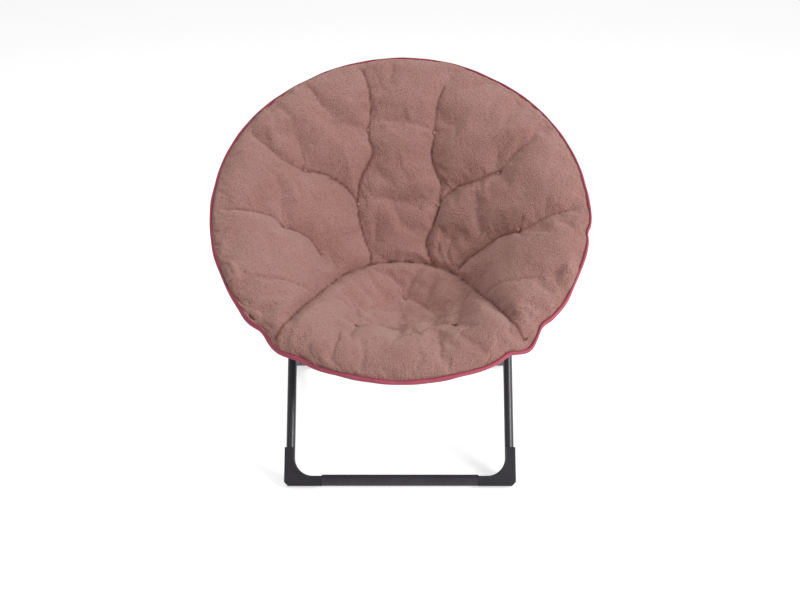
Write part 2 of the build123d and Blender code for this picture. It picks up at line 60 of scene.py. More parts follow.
# the cover swells over each hinge lug: how high, how far out, and how far out it stays level
LUG_RISE, LUG_REACH, LUG_TOP = 12.0, 38.0, 11.0
LUG_INNER, LUG_OUTER = 352.0, 373.0  # radii on the hoop between which that swelling sets in
FACE_CLEAR, BACK_CLEAR = 11.8, 10.2  # from the hoop tube's centre line to the cover's two sides
FACE_LEVEL = 12.0  # w from which that swelling is whole: under the hoop's plane there is none
NEAR_TUBE = 350.0  # radius from which the cover has to clear the tube
FABRIC_TURN = 15.6  # radius of the cover's turn round the hoop tube
ROLL_START = 363.0  # inside this the cover is the dish, outside it is the roll on the tube
EDGE_LEVEL = 3.5  # w that parts the cover from the hem under it, at the edge
COVER_REACH = 465.0  # along the cover, from the dish's middle to its edge
CLOTH_THICK = 0.9
CELLS, CLOTH_CELLS = 176, 104  # across the dish, of the cover's net and of the under cloth's
SEED = 7

# the seam between seat and back: an arch with two straight legs
SEAM_TOP, SEAM_RADIUS, SEAM_ARC = -28.0, 165.0, radians(62)
SEAM_MIDDLE = SEAM_TOP - SEAM_RADIUS
SEAM_OUT = np.array([sin(SEAM_ARC), cos(SEAM_ARC)])  # from the arch's centre to its right end
SEAM_DOWN = np.array([cos(SEAM_ARC), -sin(SEAM_ARC)])  # down its right leg
SEAM_SHOULDER = np.array([0, SEAM_MIDDLE]) + SEAM_RADIUS * SEAM_OUT
SEAM_LEG = 260.0
SEAM_END = 372.0  # radius on the hoop where the seam stops


# ---- the cover's shape
# from the dish's middle out over the tube: radius, centre u, w of the face, then the same of the back
DISH = [
    ((0, -80, -166), (0, -80, -192.8)),
    ((66, -78, -158), (70, -78, -184)),
    ((126, -68, -130), (130, -68, -156)),
    ((186, -50, -84), (190, -50, -110)),
    ((236, -32, -44), (240, -32, -73)),
    ((290, -14, -10), (300, -12, -36)),
    ((334, -3, 10), (341, -2, -14.2)),
    ((363, 0, 15.8), (364.3, 0, -4)),
    ((368, 0, 16.6), (368.4, 0, 3)),
    ((374, 0, 16.9), (373, 0, 8.2)),
    ((380, 0, 16.2), (380, 0, 10.7)),
    ((388, 0, 13.4), (387.4, 0, 8.2)),
    ((394.4, 0, 6.6), (391.2, 0, 4.4)),
]
# the same of the under cloth's outer side
UNDERSIDE = [
    (0, -80, -195), (70, -78, -186), (130, -68, -158), (190, -50, -112), (240, -32, -75),
    (300, -12, -38), (341, -2, -16.6), (364, 0, -10.5), (372, 0, -13), (380, 0, -14.6),
    (388.5, 0, -12.2), (394, 0, -5.5), (395.4, 0, 2.6),
]

# sewn-in folds: name, the points (x, u) they run through, how deep, how wide
FOLDS = [
    ("left tuft to top", [(-70, 229), (-65, 248), (-65, 289), (-73, 332), (-84, 362)], 9, 34),
    ("top gather left", [(-62, 360), (-51, 339), (-40, 312)], 4, 16),
    ("top gather middle", [(-18, 362), (-24, 326)], 3, 15),
    ("between top tufts", [(-70, 229), (-58, 241), (0, 247), (41, 238), (76, 226)], 5, 22),
    ("outside left top tuft", [(-150, 233), (-121, 235), (-70, 229)], 3, 20),
    ("upper left gather", [(-197, 307), (-176, 273), (-146, 250)], 4, 24),
    ("left middle, upper", [(-70, 229), (-66, 205), (-59, 181), (-70, 158), (-84, 130), (-91, 84)], 10, 34),
    ("left wing to middle", [(-207, 124), (-180, 126), (-148, 122), (-118, 110), (-91, 84)], 10, 34),
    ("left wing to rim", [(-207, 124), (-228, 128), (-256, 138), (-289, 163), (-318, 184)], 7, 32),
    ("left wing up", [(-208, 126), (-213, 160), (-224, 190)], 5, 22),
    ("left low to rim", [(-243, -12), (-262, 0), (-291, 4), (-329, 0), (-363, -4)], 7, 32),
    ("left low up", [(-243, -12), (-248, 8), (-251, 34)], 5, 18),
    ("left low to seam", [(-243, -12), (-222, -13), (-200, -16), (-180, -27), (-163, -46)], 9, 30),
    ("left low gather", [(-157, -30), (-142, -52), (-131, -77)], 7, 20),
    ("left middle, lower", [(-91, 84), (-87, 50), (-74, 12), (-62, -16), (-62, -42)], 11, 30),
    ("left middle gather", [(-54, 44), (-56, 10), (-60, -30)], 6, 18),
    ("between middle tufts", [(-91, 84), (-44, 96), (0, 92), (44, 94), (86, 86)], 3, 22),
    ("right middle, lower", [(86, 86), (82, 70), (73, 44), (57, 12), (60, -14), (78, -50)], 11, 30),
    ("right middle gather", [(92, 26), (84, -8), (100, -58)], 6, 18),
    ("right seam gather", [(112, 4), (103, -22), (110, -52)], 6, 16),
    ("right low to seam", [(250, -28), (208, -22), (171, -36), (140, -49), (122, -64)], 10, 32),
    ("right low gather", [(176, 0), (150, -30), (134, -62)], 6, 20),
    ("right low to rim", [(250, -28), (272, -22), (300, -12), (334, -6), (368, -2)], 8, 32),
    ("right wing to rim", [(215, 120), (229, 132), (246, 148), (274, 166)], 6, 26),
    ("right wing up", [(214, 121), (211, 142), (210, 156)], 4, 16),
    ("right wing to middle", [(215, 120), (188, 116), (155, 112), (119, 106), (86, 86)], 9, 34),
    ("right tuft to top", [(76, 226), (78, 250), (84, 285), (99, 318)], 8, 34),
    ("outside right top tuft", [(76, 226), (90, 233), (118, 234)], 3, 18),
    ("right middle, upper", [(76, 226), (74, 210), (69, 180), (74, 154), (86, 124), (86, 86)], 9, 32),
    ("seat back left", [(11, -117), (2, -92), (-24, -62)], 6, 22),
    ("seat back right", [(11, -117), (24, -82), (42, -54)], 7, 22),
    ("seat middle to left", [(11, -117), (-20, -132), (-50, -160)], 4, 24),
    ("seat middle to right", [(11, -117), (40, -140), (80, -190)], 4, 26),
    ("left lip up", [(-86, -234), (-88, -205), (-90, -168)], 6, 24),
    ("left lip across", [(-86, -234), (-50, -216), (0, -240)], 3, 24),
    ("right lip up", [(114, -244), (126, -195), (131, -160), (146, -132)], 7, 26),
    ("right lip across", [(114, -244), (88, -236), (66, -230)], 4, 20),
    ("lip gather right", [(76, -285), (79, -312), (78, -342)], 4, 18),
    ("lip gather left", [(-120, -268), (-124, -300), (-132, -338)], 2.5, 20),
]
TUFTS = {
    "back": [(-71, 230), (76, 225), (-92, 84), (84, 85), (-208, 126), (213, 117), (-245, -12), (250, -22)],
    "seat": [(10, -118)],
    "lip": [(-88, -234), (112, -240)],
}
# how deep the cover is drawn in and how far round: at a tuft, at the seam, and on its back by a thread
TUFT_SINK, TUFT_REACH = 14.0, 30.0
SEAM_SINK, SEAM_REACH = 18.0, 32.0
BACK_PULL, BACK_REACH = 4.5, 60.0
# how steeply that fades, as powers of the nearness
FOLD_FADE, SEAM_FADE, TUFT_FADE, BACK_FADE = 2.9, 2.5, 2.2, 2.4
FOLD_SLOPE = 2.1  # a fold's slopes are this many times as wide as the fold
FOLD_SHARE, SLOPE_SHARE = 0.75, 0.6  # of a fold's depth, within its own width and in its slopes
SEAM_ENDS = (399, 392)  # radii between which the seam sets in from outside
SEAM_RISES, SEAM_SHALLOW = (330, 360), 0.94  # radii over which it loses that share of its depth
# painted shade in the creases: the power it fades by, and its strength, for a fold as its depth over so much
FOLD_SHADE_POWER, FOLD_SHADE_DEPTH = 8, 9
SEAM_SHADE_POWER, SEAM_SHADE_STRENGTH = 11, 1.8
TUFT_SHADE_POWER, TUFT_SHADE_STRENGTH = 6, 1.1
FOLD_FIRM, FIRM_DEPTH = 0.75, 8  # how firmly a fold is held, and from which depth wholly so
SEAM_FIRM = 0.985  # the nearness from which the seam is held
FOLD_HELD, TUFT_HELD = 3.2, 4.5  # how far each side the sewing holds the cloth still
SAMPLE_GAP = 3.0  # between the points read along a fold
MOST_PUFF = 12.0  # no point of the cover is puffed further than this
CLOTH_FRAMES = 20  # steps of the cloth simulation

# small dents where the cover is tied at the rim: degrees round the hoop, how deep, how wide in degrees
RIM_DENTS = [(-8.5, 4.0, 2.0), (-43.5, 4.2, 2.2), (-57, 3.6, 2.4), (-25, 1.6, 6.0), (9, 1.6, 3.0),
             (204, 2.0, 4.0), (226, 2.4, 2.4), (240, 2.4, 3.0), (171, 1.8, 4.0), (62, 1.4, 8.0)]
# loose corners where the seams meet the rim: degrees, how far out, how far they droop, how wide in degrees
RIM_CORNERS = [(-51.0, 13.0, 10.0, 4.2), (-34, 3.0, 2.0, 6.0), (-3, 2.2, 0.0, 4.0), (-63, 1.5, 5.0, 8.0),
               (233, 8.0, 7.0, 5.0), (220, 4.0, 2.0, 4.0), (244, 1.5, 5.0, 8.0)]
WANDER_LEAST, WANDER_MOST = -4.2, 0.6  # of the edge, without its corners
WANDER_INNER, WANDER_OUTER = 374.0, 393.0  # radii between which the edge's wander sets in
DROOP_INNER, DROOP_OUTER = 378.0, 392.0  # and its droop

# degrees: how far up the roll the piping sits, then where it rolls out of sight, how widely and how far
PIPING_SITS = 20.0
PIPING_HIDES, HIDES_WIDE, HIDES_DEEP = 122, 26, 30


def spline(knots, share):
    """Smooth line through the knots, read at shares 0 to 1 of its length."""
    knots = np.array(knots, float)
    run = np.concatenate([[0], np.cumsum(np.linalg.norm(np.diff(knots, axis=0), axis=1))])
    run /= run[-1]
    slope = np.gradient(knots, run, axis=0)
    piece = np.clip(np.searchsorted(run, share, side="right") - 1, 0, len(run) - 2)
    width = (run[piece + 1] - run[piece])[:, None]
    t = (share[:, None] - run[piece][:, None]) / width
    return (knots[piece] * (2 * t**3 - 3 * t**2 + 1) + slope[piece] * width * (t**3 - 2 * t**2 + t)
            + knots[piece + 1] * (3 * t**2 - 2 * t**3) + slope[piece + 1] * width * (t**3 - t**2))


def step(low, high, value):
    """0 at low, 1 at high, smooth between."""
    t = np.clip((value - low) / (high - low), 0, 1)
    return t * t * (3 - 2 * t)


def bump(turn, at, wide):
    """1 at one angle round the hoop, fading over so many degrees to each side."""
    return np.exp(-((((turn - at) + 180) % 360 - 180) / wide) ** 2)


def ripple(turn, size, waves, start=0):
    """A wave round the hoop: its size, how many waves go round, and where it starts, in degrees."""
    return size * np.sin(np.radians(waves * turn + start))


def piping_angle(turn):
    """How far up the roll the piping sits, in degrees: the face rolls over it at the upper left."""
    sits = PIPING_SITS - HIDES_DEEP * bump(turn, PIPING_HIDES, HIDES_WIDE)
    return sits + ripple(turn, 3, 3, 40) + ripple(turn, 2, 7)


def rim_wander(turn):
    """How far the cover's edge strays from the hoop, in millimetres."""
    away = ripple(turn, 0.5, 5, 70) + ripple(turn, 0.4, 11)
    for at, deep, wide in RIM_DENTS:
        away = away - deep * bump(turn, at, wide)
    away = np.clip(away, WANDER_LEAST, WANDER_MOST)
    for at, out, _, wide in RIM_CORNERS:
        away = away + out * bump(turn, at, wide)
    return away


def rim_droop(turn):
    """How far the cover's edge hangs below its usual place, in millimetres."""
    return sum(droop * bump(turn, at, wide) for at, _, droop, wide in RIM_CORNERS)


def turned(ring, turn):
    """Points (x, u, w) from rings (radius, centre u, w) at the angles turn, with the edge's wander."""
    radius, centre, w = ring[:, 0], ring[:, 1], ring[:, 2]
    outside = radius > HOOP_RADIUS
    angle = np.degrees(np.arctan2(w, radius - HOOP_RADIUS))
    reach = np.hypot(w, radius - HOOP_RADIUS)
    sits = piping_angle(turn)
    upper = 90 - (90 - angle) * (90 - sits) / (90 - PIPING_SITS)
    lower = -90 + (angle + 90) * (90 + sits) / (90 + PIPING_SITS)
    angle = np.radians(np.where(w > EDGE_LEVEL, upper, lower))
    radius = np.where(outside, HOOP_RADIUS + reach * np.cos(angle), radius)
    w = np.where(outside, reach * np.sin(angle), w)
    w = w - rim_droop(turn) * step(DROOP_INNER, DROOP_OUTER, radius)
    radius = radius + rim_wander(turn) * step(WANDER_INNER, WANDER_OUTER, radius)
    a = np.radians(turn)
    return np.stack([radius * np.cos(a), centre + radius * np.sin(a), w], axis=1)


def in_chair(points):
    """Hoop coordinates in millimetres to the chair's frame in metres."""
    x, u, w = np.asarray(points, float).T
    c, s = cos(HOOP_TILT), sin(HOOP_TILT)
    return np.stack([x, HOOP_Y + u * c - w * s, HOOP_HEIGHT + u * s + w * c], axis=1) * MM


def in_hoop(points):
    """Points of the chair's frame in metres to hoop coordinates in millimetres."""
    x, y, z = (np.asarray(points, float) / MM).T
    c, s = cos(HOOP_TILT), sin(HOOP_TILT)
    y, z = y - HOOP_Y, z - HOOP_HEIGHT
    return np.stack([x, y * c + z * s, z * c - y * s], axis=1)


def facing(directions):
    """Directions in the hoop's coordinates as unit directions in the chair's frame."""
    away = in_chair(directions) - in_chair([(0, 0, 0)])
    return away / np.linalg.norm(away, axis=1)[:, None]


def over_fittings(points, clear):
    """Cover points (x, u, w) kept off the hoop tube and lifted over the two hinge lugs."""
    x, u, w = np.array(points).T
    radius = np.hypot(x, u)
    away = np.maximum(np.hypot(radius - HOOP_RADIUS, w), 1e-6)
    grow = np.where((radius > NEAR_TUBE) & (away < clear), clear / away, 1.0)
    wider = (HOOP_RADIUS + (radius - HOOP_RADIUS) * grow) / np.maximum(radius, 1e-6)
    wider = np.where(radius > NEAR_TUBE, wider, 1.0)
    x, u, w = x * wider, u * wider, w * grow
    gap = np.hypot(np.abs(x) - HINGE_ACROSS, u - HINGE_BACK)
    on_hoop = step(LUG_INNER, LUG_OUTER, radius)
    w = w + LUG_RISE * step(LUG_REACH, LUG_TOP, gap) * step(0.0, FACE_LEVEL, w) * on_hoop
    return np.stack([x, u, w], axis=1)


def disc_grid(cells):
    """A square net drawn out to a round one: its points and its four-sided faces."""
    s = np.linspace(-1, 1, cells + 1)
    a, b = (g.ravel() for g in np.meshgrid(s, s))
    flat = np.stack([a * np.sqrt(1 - b * b / 2), b * np.sqrt(1 - a * a / 2)], axis=1)
    first = (np.arange(cells)[:, None] * (cells + 1) + np.arange(cells)[None, :]).ravel()
    faces = np.stack([first, first + 1, first + cells + 2, first + cells + 1], axis=1)
    return flat, faces


def share_and_turn(flat):
    """How far out each point of a round net lies, 0 to 1, and at how many degrees round."""
    return np.clip(np.hypot(*flat.T), 0, 1), np.degrees(np.arctan2(flat[:, 1], flat[:, 0]))


def seam_line():
    """The arched seam between seat and back, as (x, u) from its left end to its right end."""
    arch = [(SEAM_RADIUS * sin(t), SEAM_MIDDLE + SEAM_RADIUS * cos(t)) for t in np.linspace(0, SEAM_ARC, 60)]
    leg = [tuple(SEAM_SHOULDER + SEAM_DOWN * along) for along in np.linspace(3, SEAM_LEG, 130)]
    right = arch + leg
    return np.array([(-x, u) for x, u in right[:0:-1]] + right)


def on_seat(points):
    """Which points lie inside the seam, on the seat's side of it."""
    folded = np.stack([np.abs(points[:, 0]), points[:, 1]], axis=1)
    beside_leg = (folded - SEAM_SHOULDER) @ SEAM_DOWN > 0
    return np.where(beside_leg, (folded - SEAM_SHOULDER) @ SEAM_OUT < 0,
                    np.hypot(folded[:, 0], folded[:, 1] - SEAM_MIDDLE) < SEAM_RADIUS)


def snapped(points, line, reach):
    """Points (x, u) within reach of the line moved onto it."""
    gap = points[:, None, :] - line[None, :, :]
    distance = np.linalg.norm(gap, axis=2)
    nearest = distance.argmin(axis=1)
    near = distance[np.arange(len(points)), nearest] < reach
    out = points.copy()
    out[near] = line[nearest[near]]
    return out, near


NOISE_WAVES, NOISE_SHARE = 14, 3.7  # how many waves are summed, and what brings the sum back to about 1
# lumps in the filling, the pile and the under cloth, each layer so wide and so high
GATHERS, PILE_LUMPS, CLOTH_LUMPS = [(95.0, 1.8), (42.0, 0.4)], [(9.0, 0.12), (15.0, 0.15)], [(120.0, 0.5)]
CLOTH_SAG = 0.9  # how far the under cloth hangs down where no thread holds it


def smooth_noise(points, size, seed):
    """Smooth random numbers about -1 to 1 over the points, with lumps of about that size."""
    draw = np.random.default_rng(seed)
    total = np.zeros(len(points))
    for _ in range(NOISE_WAVES):
        direction = draw.normal(size=3)
        direction *= 2 * pi / size * draw.uniform(0.6, 1.3) / np.linalg.norm(direction)
        total += np.sin(points @ direction + draw.uniform(0, 2 * pi))
    return total / NOISE_SHARE


def lumps(points, layers, seed):
    """Smooth lumps over the points, summed over their layers."""
    return sum(smooth_noise(points, wide, seed + k) * high for k, (wide, high) in enumerate(layers))


def line_points(points):
    """A smooth line through a few (x, u) points, as many points."""
    points = np.array(points, float)
    length = np.linalg.norm(np.diff(points, axis=0), axis=1).sum()
    return spline(points, np.linspace(0, 1, max(int(length / SAMPLE_GAP), 3)))


AT_A_TIME = 3000  # points measured at a time, to spare memory


def nearness(face, samples, reach):
    """For every point, how near it is to the samples: 1 on them, 0 from reach on."""
    near = np.zeros(len(face), np.float32)
    above = (face > samples.min(axis=0) - reach).all(axis=1)
    below = (face < samples.max(axis=0) + reach).all(axis=1)
    where = np.nonzero(above & below)[0]
    for block in np.array_split(where, max(len(where) // AT_A_TIME, 1)):
        gap = np.linalg.norm(face[block][:, None, :] - samples[None, :, :], axis=2)
        near[block] = np.clip(1 - gap.min(axis=1) / reach, 0, 1)
    return near


def lifted(face, samples):
    """Samples (x, u) raised onto the cover's face, as (x, u, w)."""
    out = []
    for x, u in samples:
        nearest = np.argmin((face[:, 0] - x) ** 2 + (face[:, 1] - u) ** 2)
        out.append((x, u, face[nearest, 2]))
    return np.array(out)


def grid_normals(points, faces):
    """Which way a net of four-sided faces looks at each of its points."""
    a, b, c, d = (points[faces[:, k]] for k in range(4))
    across = np.cross(c - a, d - b)
    total = np.zeros_like(points)
    for k in range(4):
        np.add.at(total, faces[:, k], across)
    return total / np.maximum(np.linalg.norm(total, axis=1), 1e-9)[:, None]


def tuft_pulls(points):
    """How far the tufts' threads draw the cushion's back and its cloth up, in millimetres."""
    pulls = np.zeros(len(points))
    for place in sum(TUFTS.values(), []):
        near = nearness(points, lifted(points, [place]), BACK_REACH)
        pulls = np.maximum(pulls, BACK_PULL * near**BACK_FADE)
    return pulls


def sewn_down(face, seam):
    """What the sewing does to the face: how deep it sinks, how firmly it is held, the painted shade of its
    creases.
    """
    sink, pins, crease_shade = np.zeros((3, len(face)))
    for _, knots, deep, wide in FOLDS:
        samples = lifted(face, line_points(knots))
        near = nearness(face, samples, wide)
        slope = nearness(face, samples, FOLD_SLOPE * wide)
        sink = np.maximum(sink, deep * (FOLD_SHARE * near**FOLD_FADE + SLOPE_SHARE * slope**2))
        crease_shade = np.maximum(crease_shade, near**FOLD_SHADE_POWER * deep / FOLD_SHADE_DEPTH)
        pins = np.maximum(pins, FOLD_FIRM * (near > 1 - FOLD_HELD / wide) * min(deep / FIRM_DEPTH, 1))

    # the seam fades as it runs out over the hoop
    radius = np.hypot(face[:, 0], face[:, 1])
    near = nearness(face, lifted(face, seam[::2]), SEAM_REACH) * step(*SEAM_ENDS, radius)
    sink = np.maximum(sink, SEAM_SINK * near**SEAM_FADE * (1 - SEAM_SHALLOW * step(*SEAM_RISES, radius)))
    crease_shade = np.maximum(crease_shade, near**SEAM_SHADE_POWER * SEAM_SHADE_STRENGTH)
    pins = np.maximum(pins, near > SEAM_FIRM)

    for place in sum(TUFTS.values(), []):
        near = nearness(face, lifted(face, [place]), TUFT_REACH)
        sink = np.maximum(sink, TUFT_SINK * near**TUFT_FADE)
        crease_shade = np.maximum(crease_shade, near**TUFT_SHADE_POWER * TUFT_SHADE_STRENGTH)
        pins = np.maximum(pins, near > 1 - TUFT_HELD / TUFT_REACH)
    return sink, pins, np.clip(crease_shade, 0, 1)


# the cover's pieces, in the order of the numbers that cover_face gives its parts: body, CAD node
PADS = {
    "back_pad": ("back_frame", "back_cushion"),
    "wing_pads": ("seat_frame", "front_cushion"),
    "seat_pad_back": ("back_frame", "back_seat_cushion"),
    "seat_pad_front": ("seat_frame", "front_seat_cushion"),
    "rim_roll_back": ("back_frame", "back_hoop_sleeve"),
    "rim_roll_front": ("seat_frame", "front_hoop_sleeve"),
}


def cover_face():
    """The cover's face before it is filled: net, points, pins, part of each face, painted shade of its
    creases.
    """
    flat, faces = disc_grid(CELLS)
    share, turn = share_and_turn(flat)
    laid = turned(spline([face for face, _ in DISH], share), turn)
    cell = 2.0 * COVER_REACH / CELLS

    inner = share < 0.999
    seam = seam_line()
    moved, on_seam = snapped(laid[:, :2], seam, 0.55 * cell)
    on_seam &= inner & (np.hypot(laid[:, 0], laid[:, 1]) < SEAM_END)
    laid[on_seam, :2] = moved[on_seam]
    on_fold = (np.abs(laid[:, 1] - HINGE_BACK) < 0.5 * cell) & inner & ~on_seam
    laid[on_fold, 1] = HINGE_BACK

    sink, pins, crease_shade = sewn_down(laid, seam)
    pins = np.maximum(pins, share > 0.9995)
    gather = lumps(laid, GATHERS, SEED) * step(0, 40, HOOP_RADIUS - np.hypot(laid[:, 0], laid[:, 1]))
    points = laid - grid_normals(laid, faces) * (sink - gather)[:, None]

    middle = points[faces].mean(axis=1)
    on_roll = np.hypot(middle[:, 0], middle[:, 1]) > ROLL_START
    part = np.where(on_roll, 4, np.where(on_seat(middle), 2, 0)) + (middle[:, 1] <= HINGE_BACK)
    return flat, faces, points, pins, part, crease_shade


# ---- meshes
def mesh_object(name, points, faces, edges=()):
    """A smooth object at the origin, its points in metres in the chair's frame."""
    mesh = bpy.data.meshes.new(name)
    mesh.from_pydata([tuple(p) for p in points], edges, [tuple(int(i) for i in f) for f in faces])
    mesh.shade_smooth()
    mesh.update()
    thing = bpy.data.objects.new(name, mesh)
    bpy.context.scene.collection.objects.link(thing)
    return thing


def vertex_values(thing, name, values):
    """Stores a number or a vector at each of the mesh's points."""
    values = np.asarray(values, np.float32)
    kind, key = ("FLOAT", "value") if values.ndim == 1 else ("FLOAT_VECTOR", "vector")
    attribute = thing.data.attributes.new(name, kind, "POINT")
    attribute.data.foreach_set(key, values.ravel())


def read_values(mesh, name):
    attribute = mesh.attributes[name]
    wide = 1 if attribute.data_type == "FLOAT" else 3
    values = np.zeros(len(mesh.vertices) * wide, np.float32)
    attribute.data.foreach_get("value" if wide == 1 else "vector", values)
    return values if wide == 1 else values.reshape(-1, 3)


def keep_sharp(thing, border, count):
    """Keeps the shading of a face and its back apart from the wall between them."""
    mesh = thing.data
    ends = np.zeros(len(mesh.edges) * 2, np.int32)
    mesh.edges.foreach_get("vertices", ends)
    ends = np.sort(ends.reshape(-1, 2), axis=1).astype(np.int64)
    rim = np.sort(np.array(border, np.int64), axis=1)
    rim = np.concatenate([rim, rim + count])
    as_one_number = np.array([len(mesh.vertices), 1])
    sharp = np.isin(ends @ as_one_number, rim @ as_one_number)
    mesh.attributes.new("sharp_edge", "BOOLEAN", "EDGE").data.foreach_set("value", sharp)


def closed_piece(name, faces, top, bottom):
    """A closed piece cut from a net: top, bottom and wall. Also the points used and the border."""
    used, local = np.unique(faces.ravel(), return_inverse=True)
    upper = local.reshape(-1, 4)
    count = len(used)
    edges = np.concatenate([upper[:, [k, (k + 1) % 4]] for k in range(4)])
    seen = dict.fromkeys(map(tuple, edges.tolist()))
    border = [(a, b) for a, b in seen if (b, a) not in seen]
    walls = [(b, a, a + count, b + count) for a, b in border]
    points = np.concatenate([top[used], bottom[used]])
    piece = mesh_object(name, points, list(upper) + list(upper[:, ::-1] + count) + walls)
    vertex_values(piece, "laid", points)
    return piece, used, border


def outward(thing):
    """The same object with its closed mesh's faces turned outwards."""
    made = bmesh.new()
    made.from_mesh(thing.data)
    bmesh.ops.recalc_face_normals(made, faces=made.faces)
    made.to_mesh(thing.data)
    made.free()
    return thing


def mesh_points(mesh):
    return read_values(mesh, "position").astype(float)


def evaluated_mesh(thing):
    graph = bpy.context.evaluated_depsgraph_get()
    return bpy.data.meshes.new_from_object(thing.evaluated_get(graph))


CLOTH = {
    "vertex_group_mass": "sewn", "quality": 6, "mass": 0.3, "tension_stiffness": 18,
    "compression_stiffness": 18, "shear_stiffness": 8, "bending_stiffness": 0.6, "air_damping": 6,
    "pin_stiffness": 2.0, "shrink_min": -0.035, "use_pressure": True, "uniform_pressure_force": 4.0,
}


def puffed(cover, before, pins):
    """Lets a cloth simulation fill the cover between its pins, no point further than MOST_PUFF."""
    held = cover.vertex_groups.new(name="sewn")
    weights = np.round(pins, 2)
    for weight in np.unique(weights):
        held.add(np.nonzero(weights == weight)[0].tolist(), float(weight), "REPLACE")
    cloth = cover.modifiers.new("filling", "CLOTH")
    for key, value in CLOTH.items():
        setattr(cloth.settings, key, value)
    cloth.settings.effector_weights.gravity = 0.0
    cloth.collision_settings.use_collision = False
    cloth.collision_settings.use_self_collision = False
    cloth.point_cache.frame_start, cloth.point_cache.frame_end = 1, CLOTH_FRAMES
    scene = bpy.context.scene
    for number in range(1, CLOTH_FRAMES + 1):
        scene.frame_set(number)
        bpy.context.view_layer.update()
    filled = evaluated_mesh(cover)
    move = mesh_points(filled) - before
    bpy.data.meshes.remove(filled)
    cover.modifiers.remove(cloth)
    scene.frame_set(1)
    far = np.linalg.norm(move, axis=1)
    move *= np.minimum(1, MOST_PUFF * MM / np.maximum(far, 1e-9))[:, None]
    cover.data.vertices.foreach_set("co", (before + move).ravel())
    cover.data.update()


def filled_cover():
    """The cover's face, filled between its sewing, at twice the net's fineness."""
    flat, faces, points, pins, part, crease_shade = cover_face()
    laid = in_chair(points)
    cover = mesh_object("cover_face", laid, faces)
    vertex_values(cover, "flat", np.column_stack([flat, np.zeros(len(flat))]))
    # stores the painted shade of the creases for the pile's colour
    vertex_values(cover, "crease_shade", crease_shade)
    cover.data.polygons.foreach_set("material_index", part.astype(np.int32))
    puffed(cover, laid, pins)
    finer = cover.modifiers.new("finer", "SUBSURF")
    finer.levels = finer.render_levels = 1
    mesh = evaluated_mesh(cover)
    bpy.data.objects.remove(cover)
    return mesh


def closed_pads():
    """The filled face cut into closed pads with a back, and the whole face's points and directions."""
    mesh = filled_cover()
    face = mesh_points(mesh)
    flat = read_values(mesh, "flat")[:, :2]
    crease_shade = read_values(mesh, "crease_shade")
    quads = np.zeros(len(mesh.polygons) * 4, np.int32)
    mesh.polygons.foreach_get("vertices", quads)
    quads = quads.reshape(-1, 4)
    part = np.zeros(len(mesh.polygons), np.int32)
    mesh.polygons.foreach_get("material_index", part)
    bpy.data.meshes.remove(mesh)

    normals = grid_normals(face, quads)
    face = in_hoop(face + normals * (lumps(face / MM, PILE_LUMPS, SEED + 2) * MM)[:, None])
    face = in_chair(over_fittings(face, FACE_CLEAR))
    share, turn = share_and_turn(flat)
    back = turned(spline([back for _, back in DISH], share), turn)
    back = back + grid_normals(back, quads) * tuft_pulls(back)[:, None]
    back = in_chair(over_fittings(back, BACK_CLEAR))

    pads = {}
    for index, name in enumerate(PADS):
        pad, used, border = closed_piece(name, quads[part == index], face, back)
        keep_sharp(pad, border, len(used))
        # the painted shade of the creases goes with each pad; the pads' backs get full painted shade
        vertex_values(pad, "crease_shade", np.concatenate([crease_shade[used], np.ones(len(used))]))
        pads[name] = pad
    return pads, in_hoop(face), normals


# the sheets, in the order of their parts: body, tube it rests on, CAD node, size as cut in metres
SHEETS = {
    "under_cloth_back": ("back_frame", "back_hoop_tube", "back_under_cloth", (0.84, 0.62)),
    "under_cloth_front": ("seat_frame", "front_hoop_tube", "front_under_cloth", (0.72, 0.30)),
    "hem_back": ("back_frame", "back_hoop_tube", None, (0.045, 1.60)),
    "hem_front": ("seat_frame", "front_hoop_tube", None, (0.047, 0.88)),
}


def under_cloth():
    """Grey cloth under the dish and round the tube: four sheets with their areas in square metres."""
    flat, faces = disc_grid(CLOTH_CELLS)
    share, turn = share_and_turn(flat)
    outer = turned(spline(UNDERSIDE, share), turn)
    cell = 2.0 * COVER_REACH / CLOTH_CELLS
    on_fold = (np.abs(outer[:, 1] - HINGE_BACK) < 0.5 * cell) & (share < 0.999)
    outer[on_fold, 1] = HINGE_BACK
    normals = grid_normals(outer, faces)
    slack = lumps(outer, CLOTH_LUMPS, SEED + 5) - CLOTH_SAG
    under_dish = step(362, 330, np.hypot(outer[:, 0], outer[:, 1]))
    outer = outer + normals * ((tuft_pulls(outer) + slack) * under_dish)[:, None]
    inner = outer + normals * CLOTH_THICK
    middle = outer[faces].mean(axis=1)
    on_roll = np.hypot(middle[:, 0], middle[:, 1]) > ROLL_START
    part = np.where(on_roll, 2, 0) + (middle[:, 1] <= HINGE_BACK)
    sheets = {}
    for index, name in enumerate(SHEETS):
        chosen = faces[part == index]
        sheet, _, _ = closed_piece(name, chosen, in_chair(inner), in_chair(outer))
        a, b, c, d = (outer[chosen[:, k]] for k in range(4))
        area = 0.5 * np.linalg.norm(np.cross(c - a, d - b), axis=1).sum()
        sheets[name] = (sheet, area * MM * MM)
    return sheets


# a tuft button's outline from its top to its bottom: radius, height
BUTTON = [(0, 2.6), (1.7, 2.3), (2.9, 1.6), (3.7, 0.6), (3.9, -0.4), (2.9, -1.4), (0, -1.8)]
BUTTON_RISE = 1.2  # of its middle over the pile it is drawn into
BUTTON_DIMPLE = 24.0  # how far round it the pile's slant decides its own
BUTTON_PLEATS, PLEAT_DEEP = 4, 0.06  # pleats round it, and their depth as a share of its radius
BUTTON_POINTS, CORD_POINTS = 16, 14  # round a button and round the piping


def ring_walls(first, rings, around):
    """The faces between rings of points, so many around, numbered on from the first."""
    return [(ring + k, ring + (k + 1) % around, ring + around + (k + 1) % around, ring + around + k)
            for ring in range(first, first + (rings - 1) * around, around) for k in range(around)]


